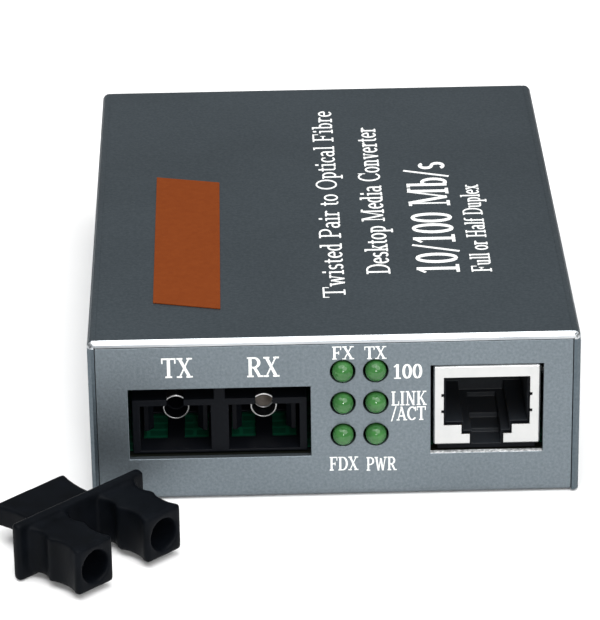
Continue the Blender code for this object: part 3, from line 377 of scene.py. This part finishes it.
def bar(y, left, right):
    """A level stroke, such as a slab at the foot or head of a stem."""
    return 1.0, [(left, y), (right, y)]


def slope(x, y, to_x, to_y, weight=1.0):
    """A slanting stroke."""
    return weight, [(x, y), (to_x, to_y)]


def bowl(x, y, wide, high, start=0, end=360):
    """A round stroke about its middle, from one angle in degrees to another."""
    count = max(6, round(abs(end - start) / ARC_STEP))
    angles = [math.radians(start + (end - start) * step / count) for step in range(count + 1)]
    return 1.0, [(x + wide * math.cos(a), y + high * math.sin(a)) for a in angles]


LETTERS = {
    " ": (0.34, []),
    "/": (0.46, [slope(0.04, -0.06, 0.42, 1.04, 0.6)]),
    "0": (0.60, [bowl(0.30, 0.5, 0.20, 0.46)]),
    "1": (0.56, [stem(0.30), bar(FOOT, 0.10, 0.50), slope(0.10, 0.80, 0.28, 0.96, 0.6)]),
    "A": (0.86, [slope(0.12, 0.0, 0.42, 1.0, 0.45), slope(0.40, 1.0, 0.72, 0.0), bar(0.32, 0.2, 0.62),
                 bar(FOOT, 0.0, 0.26), bar(FOOT, 0.56, 0.88)]),
    "C": (0.80, [bowl(0.44, 0.5, 0.33, 0.46, 42, 318), stem(0.72, 0.66, 0.98, 0.45)]),
    "D": (0.84, [stem(0.2), bar(FOOT, 0.04, 0.42), bar(HEAD, 0.04, 0.42),
                 bowl(0.40, 0.5, 0.34, 0.46, -90, 90)]),
    "F": (0.72, [stem(0.2), bar(FOOT, 0.04, 0.38), bar(HEAD, 0.04, 0.66), stem(0.64, 0.72, 1.0, 0.45),
                 bar(0.5, 0.2, 0.5), stem(0.49, 0.38, 0.62, 0.45)]),
    "H": (0.92, [stem(0.22), stem(0.70), bar(0.5, 0.22, 0.7), bar(FOOT, 0.06, 0.38), bar(HEAD, 0.06, 0.38),
                 bar(FOOT, 0.54, 0.86), bar(HEAD, 0.54, 0.86)]),
    "I": (0.46, [stem(0.23), bar(FOOT, 0.05, 0.41), bar(HEAD, 0.05, 0.41)]),
    "K": (0.88, [stem(0.2), bar(FOOT, 0.04, 0.36), bar(HEAD, 0.04, 0.36), slope(0.28, 0.42, 0.68, 0.98, 0.45),
                 slope(0.38, 0.56, 0.72, 0.02), bar(FOOT, 0.56, 0.88), bar(HEAD, 0.54, 0.84)]),
    "L": (0.72, [stem(0.2), bar(HEAD, 0.04, 0.38), bar(FOOT, 0.04, 0.66), stem(0.64, 0.0, 0.3, 0.45)]),
    "M": (1.08, [stem(0.18, 0.0, 1.0, 0.5), slope(0.2, 1.0, 0.54, 0.06), slope(0.54, 0.06, 0.86, 1.0, 0.5),
                 stem(0.88), bar(FOOT, 0.04, 0.32), bar(FOOT, 0.72, 1.04), bar(HEAD, 0.04, 0.24),
                 bar(HEAD, 0.84, 1.04)]),
    "N": (0.92, [stem(0.2, 0.0, 1.0, 0.5), slope(0.2, 1.0, 0.72, 0.0), stem(0.72, 0.0, 1.0, 0.5),
                 bar(HEAD, 0.04, 0.26), bar(HEAD, 0.56, 0.88), bar(FOOT, 0.04, 0.36)]),
    "O": (0.86, [bowl(0.43, 0.5, 0.34, 0.46)]),
    "P": (0.76, [stem(0.2), bar(FOOT, 0.04, 0.38), bar(HEAD, 0.04, 0.42), bar(0.46, 0.2, 0.42),
                 bowl(0.40, 0.71, 0.26, 0.25, -90, 90)]),
    "R": (0.88, [stem(0.2), bar(FOOT, 0.04, 0.38), bar(HEAD, 0.04, 0.42), bar(0.48, 0.2, 0.42),
                 bowl(0.40, 0.72, 0.26, 0.24, -90, 90), slope(0.42, 0.5, 0.70, 0.02), bar(FOOT, 0.6, 0.88)]),
    "T": (0.80, [stem(0.4), bar(FOOT, 0.22, 0.58), bar(HEAD, 0.04, 0.76), stem(0.06, 0.72, 1.0, 0.45),
                 stem(0.74, 0.72, 1.0, 0.45)]),
    "W": (1.16, [slope(0.16, 1.0, 0.38, 0.0), slope(0.38, 0.0, 0.58, 0.9, 0.5), slope(0.58, 0.9, 0.78, 0.0),
                 slope(0.78, 0.0, 1.0, 1.0, 0.5), bar(HEAD, 0.02, 0.32), bar(HEAD, 0.86, 1.14)]),
    "X": (0.86, [slope(0.16, 1.0, 0.70, 0.0), slope(0.16, 0.0, 0.68, 1.0, 0.45), bar(HEAD, 0.02, 0.34),
                 bar(HEAD, 0.54, 0.84), bar(FOOT, 0.02, 0.30), bar(FOOT, 0.52, 0.86)]),
    "a": (0.56, [bowl(0.25, 0.46, 0.16, 0.16, 0, 150), stem(0.41, 0.06, 0.47), bowl(0.25, 0.2, 0.16, 0.16),
                 bar(FOOT, 0.41, 0.54)]),
    "b": (0.60, [stem(0.17, 0.02), bar(HEAD, 0.03, 0.17), bowl(0.31, 0.33, 0.19, 0.29, -130, 130)]),
    "c": (0.50, [bowl(0.29, 0.33, 0.19, 0.29, 48, 312), stem(0.41, 0.44, 0.58, 0.6)]),
    "d": (0.62, [stem(0.43), bar(HEAD, 0.28, 0.43), bar(FOOT, 0.43, 0.58),
                 bowl(0.29, 0.33, 0.19, 0.29, 50, 310)]),
    "e": (0.52, [bowl(0.28, 0.33, 0.19, 0.29, 6, 318), bar(0.36, 0.12, 0.46)]),
    "f": (0.42, [stem(0.18, 0.0, 0.84), bar(FOOT, 0.04, 0.34), bar(WAIST, 0.04, 0.36),
                 bowl(0.32, 0.82, 0.14, 0.14, 50, 180)]),
    "i": (0.34, [stem(0.18, 0.0, SMALL), bar(FOOT, 0.03, 0.32), bar(WAIST, 0.03, 0.18),
                 stem(0.18, 0.8, 0.96, 1.1)]),
    "k": (0.62, [stem(0.17), bar(HEAD, 0.03, 0.17), bar(FOOT, 0.03, 0.32), slope(0.24, 0.26, 0.46, 0.62, 0.5),
                 slope(0.30, 0.40, 0.50, 0.02, 0.9), bar(FOOT, 0.38, 0.62), bar(WAIST, 0.34, 0.56)]),
    "l": (0.34, [stem(0.18), bar(FOOT, 0.03, 0.32), bar(HEAD, 0.03, 0.18)]),
    "n": (0.66, [stem(0.17, 0.0, SMALL), bar(FOOT, 0.03, 0.31), bar(WAIST, 0.03, 0.17),
                 bowl(0.33, 0.46, 0.15, 0.16, 0, 140), stem(0.48, 0.0, 0.47), bar(FOOT, 0.35, 0.62)]),
    "o": (0.56, [bowl(0.28, 0.33, 0.20, 0.29)]),
    "p": (0.60, [stem(0.17, -0.3, SMALL), bar(-0.26, 0.03, 0.32), bar(WAIST, 0.03, 0.17),
                 bowl(0.31, 0.33, 0.19, 0.29, -130, 130)]),
    "r": (0.48, [stem(0.17, 0.0, SMALL), bar(FOOT, 0.03, 0.33), bar(WAIST, 0.03, 0.17),
                 bowl(0.33, 0.44, 0.13, 0.18, 40, 160)]),
    "s": (0.46, [bowl(0.23, 0.475, 0.13, 0.145, 35, 270), bowl(0.23, 0.185, 0.14, 0.145, 90, -150)]),
    "t": (0.38, [stem(0.17, 0.12, 0.82), bar(WAIST, 0.03, 0.33), bowl(0.28, 0.15, 0.11, 0.11, 180, 300)]),
    "u": (0.66, [stem(0.17, 0.18, SMALL), bar(WAIST, 0.03, 0.17), bowl(0.32, 0.2, 0.15, 0.16, 180, 320),
                 stem(0.48, 0.0, SMALL), bar(WAIST, 0.34, 0.48), bar(FOOT, 0.48, 0.62)]),
    "v": (0.58, [slope(0.12, SMALL, 0.29, 0.0), slope(0.29, 0.0, 0.46, SMALL, 0.5), bar(WAIST, 0.02, 0.24),
                 bar(WAIST, 0.36, 0.56)]),
    "w": (0.86, [slope(0.13, SMALL, 0.29, 0.0), slope(0.29, 0.0, 0.43, 0.6, 0.5), slope(0.43, 0.6, 0.58, 0.0),
                 slope(0.58, 0.0, 0.73, SMALL, 0.5), bar(WAIST, 0.02, 0.24), bar(WAIST, 0.62, 0.84)]),
    "x": (0.60, [slope(0.12, SMALL, 0.48, 0.0), slope(0.12, 0.0, 0.46, SMALL, 0.5), bar(WAIST, 0.02, 0.24),
                 bar(WAIST, 0.36, 0.58), bar(FOOT, 0.0, 0.22), bar(FOOT, 0.36, 0.60)]),
}


def stroke_cells(weight, points, pen_wide, pen_high):
    """The cells, four corners each, that a pen covers as it passes the points."""
    wide = pen_wide * weight
    closed = math.dist(points[0], points[-1]) < SAME
    left, right = [], []
    for index, (x, y) in enumerate(points):
        before = points[index - 1] if index else points[-2 if closed else 0]
        after = points[index + 1] if index + 1 < len(points) else points[1 if closed else -1]
        run, climb = after[0] - before[0], after[1] - before[1]
        reach = math.hypot(wide * climb, pen_high * run)
        dx, dy = -wide * wide * climb / reach, pen_high * pen_high * run / reach
        left.append((x + dx, y + dy))
        right.append((x - dx, y - dy))
    return [(right[i], right[i + 1], left[i + 1], left[i]) for i in range(len(points) - 1)]


def printed(name, words, start, across, up, length, height, heaviness):
    """Words in ink: one thin film over the letters' strokes, of the given length and capital height.

    The start is the foot of the first letter, and across and up are directions on the surface.
    The length and height are in millimetres.
    """
    size = height * MM
    widths = [LETTERS[letter][0] for letter in words]
    squeeze = length * MM / sum(widths)
    pen = heaviness / 2 * min(size, squeeze)
    corners = []
    cells = []
    at = 0.0
    for letter, width in zip(words, widths):
        for weight, points in LETTERS[letter][1]:
            placed = [((at + x) * squeeze, y * size) for x, y in points]
            for cell in stroke_cells(weight, placed, pen, PEN_THIN * size):
                cells.append([len(corners) + index for index in convex_hull_2d(cell)])
                corners += [Vector(corner) for corner in cell]
        at += width
    inside_only = 1
    points, _, faces, _, _, covers = delaunay_2d_cdt(corners, [], cells, inside_only, INK_MERGE)
    shape = bmesh.new()
    verts = [shape.verts.new((x, y, 0)) for x, y in points]
    for face, cover in zip(faces, covers):
        if cover:
            shape.faces.new([verts[index] for index in face])
    bmesh.ops.delete(shape, geom=[v for v in shape.verts if not v.link_faces], context="VERTS")
    bmesh.ops.dissolve_limit(shape, angle_limit=INK_FLAT, verts=shape.verts, edges=shape.edges)
    grown = bmesh.ops.extrude_face_region(shape, geom=shape.faces[:])
    moved = [item for item in grown["geom"] if isinstance(item, bmesh.types.BMVert)]
    bmesh.ops.translate(shape, vec=(0, 0, INK_FILM), verts=moved)
    across, up = Vector(across), Vector(up)
    turned = Matrix((across, up, across.cross(up))).transposed().to_4x4()
    bmesh.ops.transform(shape, matrix=Matrix.Translation(start) @ turned, verts=shape.verts)
    bmesh.ops.recalc_face_normals(shape, faces=shape.faces)
    piece(name, shape, ["white_ink"], "case", smooth=False)


def make_legends():
    """What the ports and lamps are called, on the panel, and what the case is for, on its top.

    The tables are in millimetres.
    """
    panel = TRAY_LOW.y - INK_GAP
    legends = [             # words, left end, foot, length, height
        ("TX", -24.6, 19.65, 4.5, 3.1),
        ("RX", -12.5, 19.5, 4.7, 3.15),
        ("FX", -0.4, 22.0, 3.2, 2.05),
        ("TX", 4.2, 21.95, 3.2, 2.0),
        ("100", 8.2, 18.75, 4.3, 2.3),
        ("LINK", 8.0, 14.5, 5.1, 2.25),
        ("/ACT", 8.0, 12.1, 5.0, 2.2),
        ("FDX", -0.9, 4.25, 4.2, 2.2),
        ("PWR", 4.4, 4.1, 4.4, 2.2),
    ]
    for index, (words, left, foot, length, height) in enumerate(legends):
        printed(f"legend_{index + 1}", words, (left * MM, panel, foot * MM), (1, 0, 0), (0, 0, 1),
                length, height, LEGEND_WEIGHT)
    top = INNER_TOP + COVER_SHEET + INK_GAP
    lines = [               # words, foot, front end, length, height
        ("Twisted Pair to Optical Fibre", 2.1, -34.0, 71.0, 3.3),
        ("Desktop Media Converter", 8.9, -26.2, 56.0, 3.5),
        ("10/100 Mb/s", 19.1, -26.5, 41.8, 6.3),
        ("Full or Half Duplex", 23.8, -26.1, 32.1, 3.0),
    ]
    for index, (words, foot, front, length, height) in enumerate(lines):
        printed(f"top_print_{index + 1}", words, (foot * MM, front * MM, top), (0, 1, 0), (-1, 0, 0),
                length, height, TOP_PRINT_WEIGHT)


def make_case():
    """The cover, with a painted highlight of bright steel on its front and rear top edges, and the tray, with
    a painted highlight on the sill of the jack's window.
    """
    cover = softened("top_cover", 0.12, ["cover_paint", "bare_rim"], level=RIM_LEVEL)
    for vert in cover.data.vertices:
        if abs(abs(vert.co.x) - INNER_SIDE) < NEAR:
            vert.co.x += math.copysign(PAINT_FILL, -vert.co.x)
        if abs(vert.co.z - INNER_TOP) < NEAR:
            vert.co.z -= PAINT_FILL
    # Painted highlight: bright steel on the rim faces above the tray's top, kept off the side edges.
    recoloured(cover, lambda face: abs(face.center.y) > RIM_START and abs(face.normal.y) > RIM_FACING
               and face.center.z > RIM_LEVEL)
    tray = softened("base_tray", 0.1, ["panel_paint", "cut_edge"])
    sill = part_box("main_board")[1].z
    sill_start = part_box("jack_shield")[0].x - SILL_MARGIN
    # Painted highlight: the pale finish on the upward faces of the sill, beside the jack only.
    recoloured(tray, lambda face: face.normal.z > SILL_FACING and face.center.y < -RIM_START
               and face.center.x > sill_start and abs(face.center.z - sill) < 3 * NEAR)


def paint_bore_light_and_shade(tube):
    """Give the inner wall of a tube that runs along Y its second finish, which paints the light and shade
    seen down the bore.
    """
    corners = [vert.co for vert in tube.data.vertices]
    across = (min(c.x for c in corners) + max(c.x for c in corners)) / 2
    height = (min(c.z for c in corners) + max(c.z for c in corners)) / 2
    recoloured(tube, lambda face: abs(face.normal.y) < SIDEWAYS
               and (face.center.x - across) * face.normal.x + (face.center.z - height) * face.normal.z < 0)


def make_sockets():
    """The optical ports' housing, barrels and sleeves, the network jack and the power jack's moulding.

    The barrels' bores and the whole sending sleeve are painted black as painted shade, and the receiving
    sleeve's bore pale as painted light.
    """
    # Painted shade: black plastic in every barrel's bore and all over the sending sleeve; painted light: the
    # pale finish in the receiving sleeve's bore.
    for port, outside, inside in (("tx", "black_plastic", "black_plastic"), ("rx", "nickel", "bore_lining")):
        paint_bore_light_and_shade(softened(f"{port}_sleeve", 0.04, [outside, inside]))
        paint_bore_light_and_shade(softened(f"{port}_barrel", 0.04, ["nickel", "black_plastic"]))
    softened("sc_housing", 0.12, ["black_plastic"])
    softened("jack_shield", 0.08, ["nickel"], fold=SHIELD_FOLD)
    insert = softened("jack_insert", 0.12, ["jack_plastic", "black_plastic"])
    # Painted shade: the insert's front faces take the black plastic, darker than the insert's own resin, for
    # the shade below the shield.
    insert_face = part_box("jack_insert")[0].y
    recoloured(insert, lambda face: face.normal.y < -FACING and face.center.y < insert_face + NEAR)
    softened("power_jack_body", 0.15, ["black_plastic"])


def make_dust_plug():
    """The plug in soft rubber: one skin, with every edge of the mould well rounded."""
    made = piece("dust_plug_moulded", copied("dust_plug"), ["black_rubber"], "dust_plug")
    remeshed = made.modifiers.new("one_skin", "REMESH")
    remeshed.mode = "VOXEL"
    remeshed.voxel_size = RUBBER_GRID
    rounded = made.modifiers.new("rounded_edges", "SMOOTH")
    rounded.factor = 0.5
    rounded.iterations = RUBBER_PASSES
    settled = made.evaluated_get(bpy.context.evaluated_depsgraph_get())
    made.data = bpy.data.meshes.new_from_object(settled)
    made.modifiers.clear()
    made.data.materials.clear()
    made.data.materials.append(FINISH["black_rubber"])
    made.data.shade_smooth()
    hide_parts("dust_plug")


def make_boards():
    """The two boards: solder mask up to a front margin painted dark as shade, and sawn edges painted dark as
    shade.
    """
    for board in ("main_board", "transceiver_board"):
        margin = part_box(board)[0].y + SHADED_MARGIN
        shape = copied(board)
        parted(shape, (0, margin, 0), (0, 1, 0))
        made = piece(f"{board}_masked", shape, ["board_green", "board_edge"], "case",
                     smooth=False)
        # Painted shade: the front margin and the side faces take the near-black edge finish.
        recoloured(made, lambda face: abs(face.normal.z) < SIDEWAYS or face.center.y < margin)
        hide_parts(board)


def make_lamps():
    """Six round-nosed lamps: a moulded dome and barrel, with a foot behind the panel."""
    for index in range(LAMPS):
        node = f"lamp_{index + 1}"
        low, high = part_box(node)
        middle = (low + high) / 2
        foot = (high.x - low.x) / 2
        nose = foot - LAMP_LIP
        turns = [math.radians(90 * step / DOME_RINGS) for step in range(DOME_RINGS + 1)]
        profile = [(nose * math.sin(turn), low.y + nose * (1 - math.cos(turn))) for turn in turns]
        profile += [(nose, high.y - LAMP_FOOT), (foot, high.y - LAMP_FOOT), (foot, high.y), (0, high.y)]
        shape = bmesh.new()
        corners = [shape.verts.new((middle.x + reach, y, middle.z)) for reach, y in profile]
        edges = [shape.edges.new(pair) for pair in zip(corners, corners[1:])]
        bmesh.ops.spin(shape, geom=corners + edges, cent=middle, axis=(0, 1, 0), angle=math.tau,
                       steps=LAMP_SIDES, use_merge=True)
        bmesh.ops.remove_doubles(shape, verts=shape.verts, dist=SAME)
        bmesh.ops.recalc_face_normals(shape, faces=shape.faces)
        made = piece(f"{node}_moulded", shape, ["lamp_green"], "case")
        made.data.set_sharp_from_angle(angle=LAMP_CREASE)
        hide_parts(node)


def dress_nodes():
    """Give each carried-over node the finish of its slot."""
    for node in NODES.values():
        for slot in node.material_slots:
            base = slot.material.name.split(".")[0]
            if base in FINISH:
                slot.material = FINISH[base]


# ==================================================================== stage
def make_stage():
    """A pale floor, an even sky, two large soft lights and a small one that the lamps' domes mirror."""
    floor_reach = 4.0       # m, from the middle to each side
    sky_strength = 0.22
    aim = Vector((0, 0, 0.01))
    shape = bmesh.new()
    bmesh.ops.create_grid(shape, x_segments=1, y_segments=1, size=floor_reach)
    mesh = bpy.data.meshes.new("floor")
    shape.to_mesh(mesh)
    shape.free()
    floor = bpy.data.objects.new("floor", mesh)
    mesh.materials.append(FINISH["table_top"])
    bpy.context.scene.collection.objects.link(floor)

    world = bpy.data.worlds.new("studio")
    world.use_nodes = True
    sky = world.node_tree.nodes["Background"]
    sky.inputs["Color"].default_value = (1, 1, 1, 1)
    sky.inputs["Strength"].default_value = sky_strength
    bpy.context.scene.world = world
    bpy.context.scene.view_settings.view_transform = "Standard"

    lights = [              # name, place in metres, width in metres, watts
        ("key", (0.40, -0.60, 0.95), 1.1, 11.0),
        ("overhead", (-0.25, -0.1, 1.2), 1.3, 14.0),
        ("front", (0.06, -0.95, 0.42), 0.2, 3.2),
    ]
    for name, place, size, power in lights:
        data = bpy.data.lights.new(name, "AREA")
        data.shape = "DISK"
        data.size = size
        data.energy = power
        light = bpy.data.objects.new(name, data)
        light.location = place
        light.rotation_euler = (aim - Vector(place)).to_track_quat("-Z", "Y").to_euler()
        bpy.context.scene.collection.objects.link(light)


make_camera()
FINISH = make_materials()
make_case()
make_sockets()
make_dust_plug()
make_boards()
make_lamps()
make_legends()
dress_nodes()
make_stage()
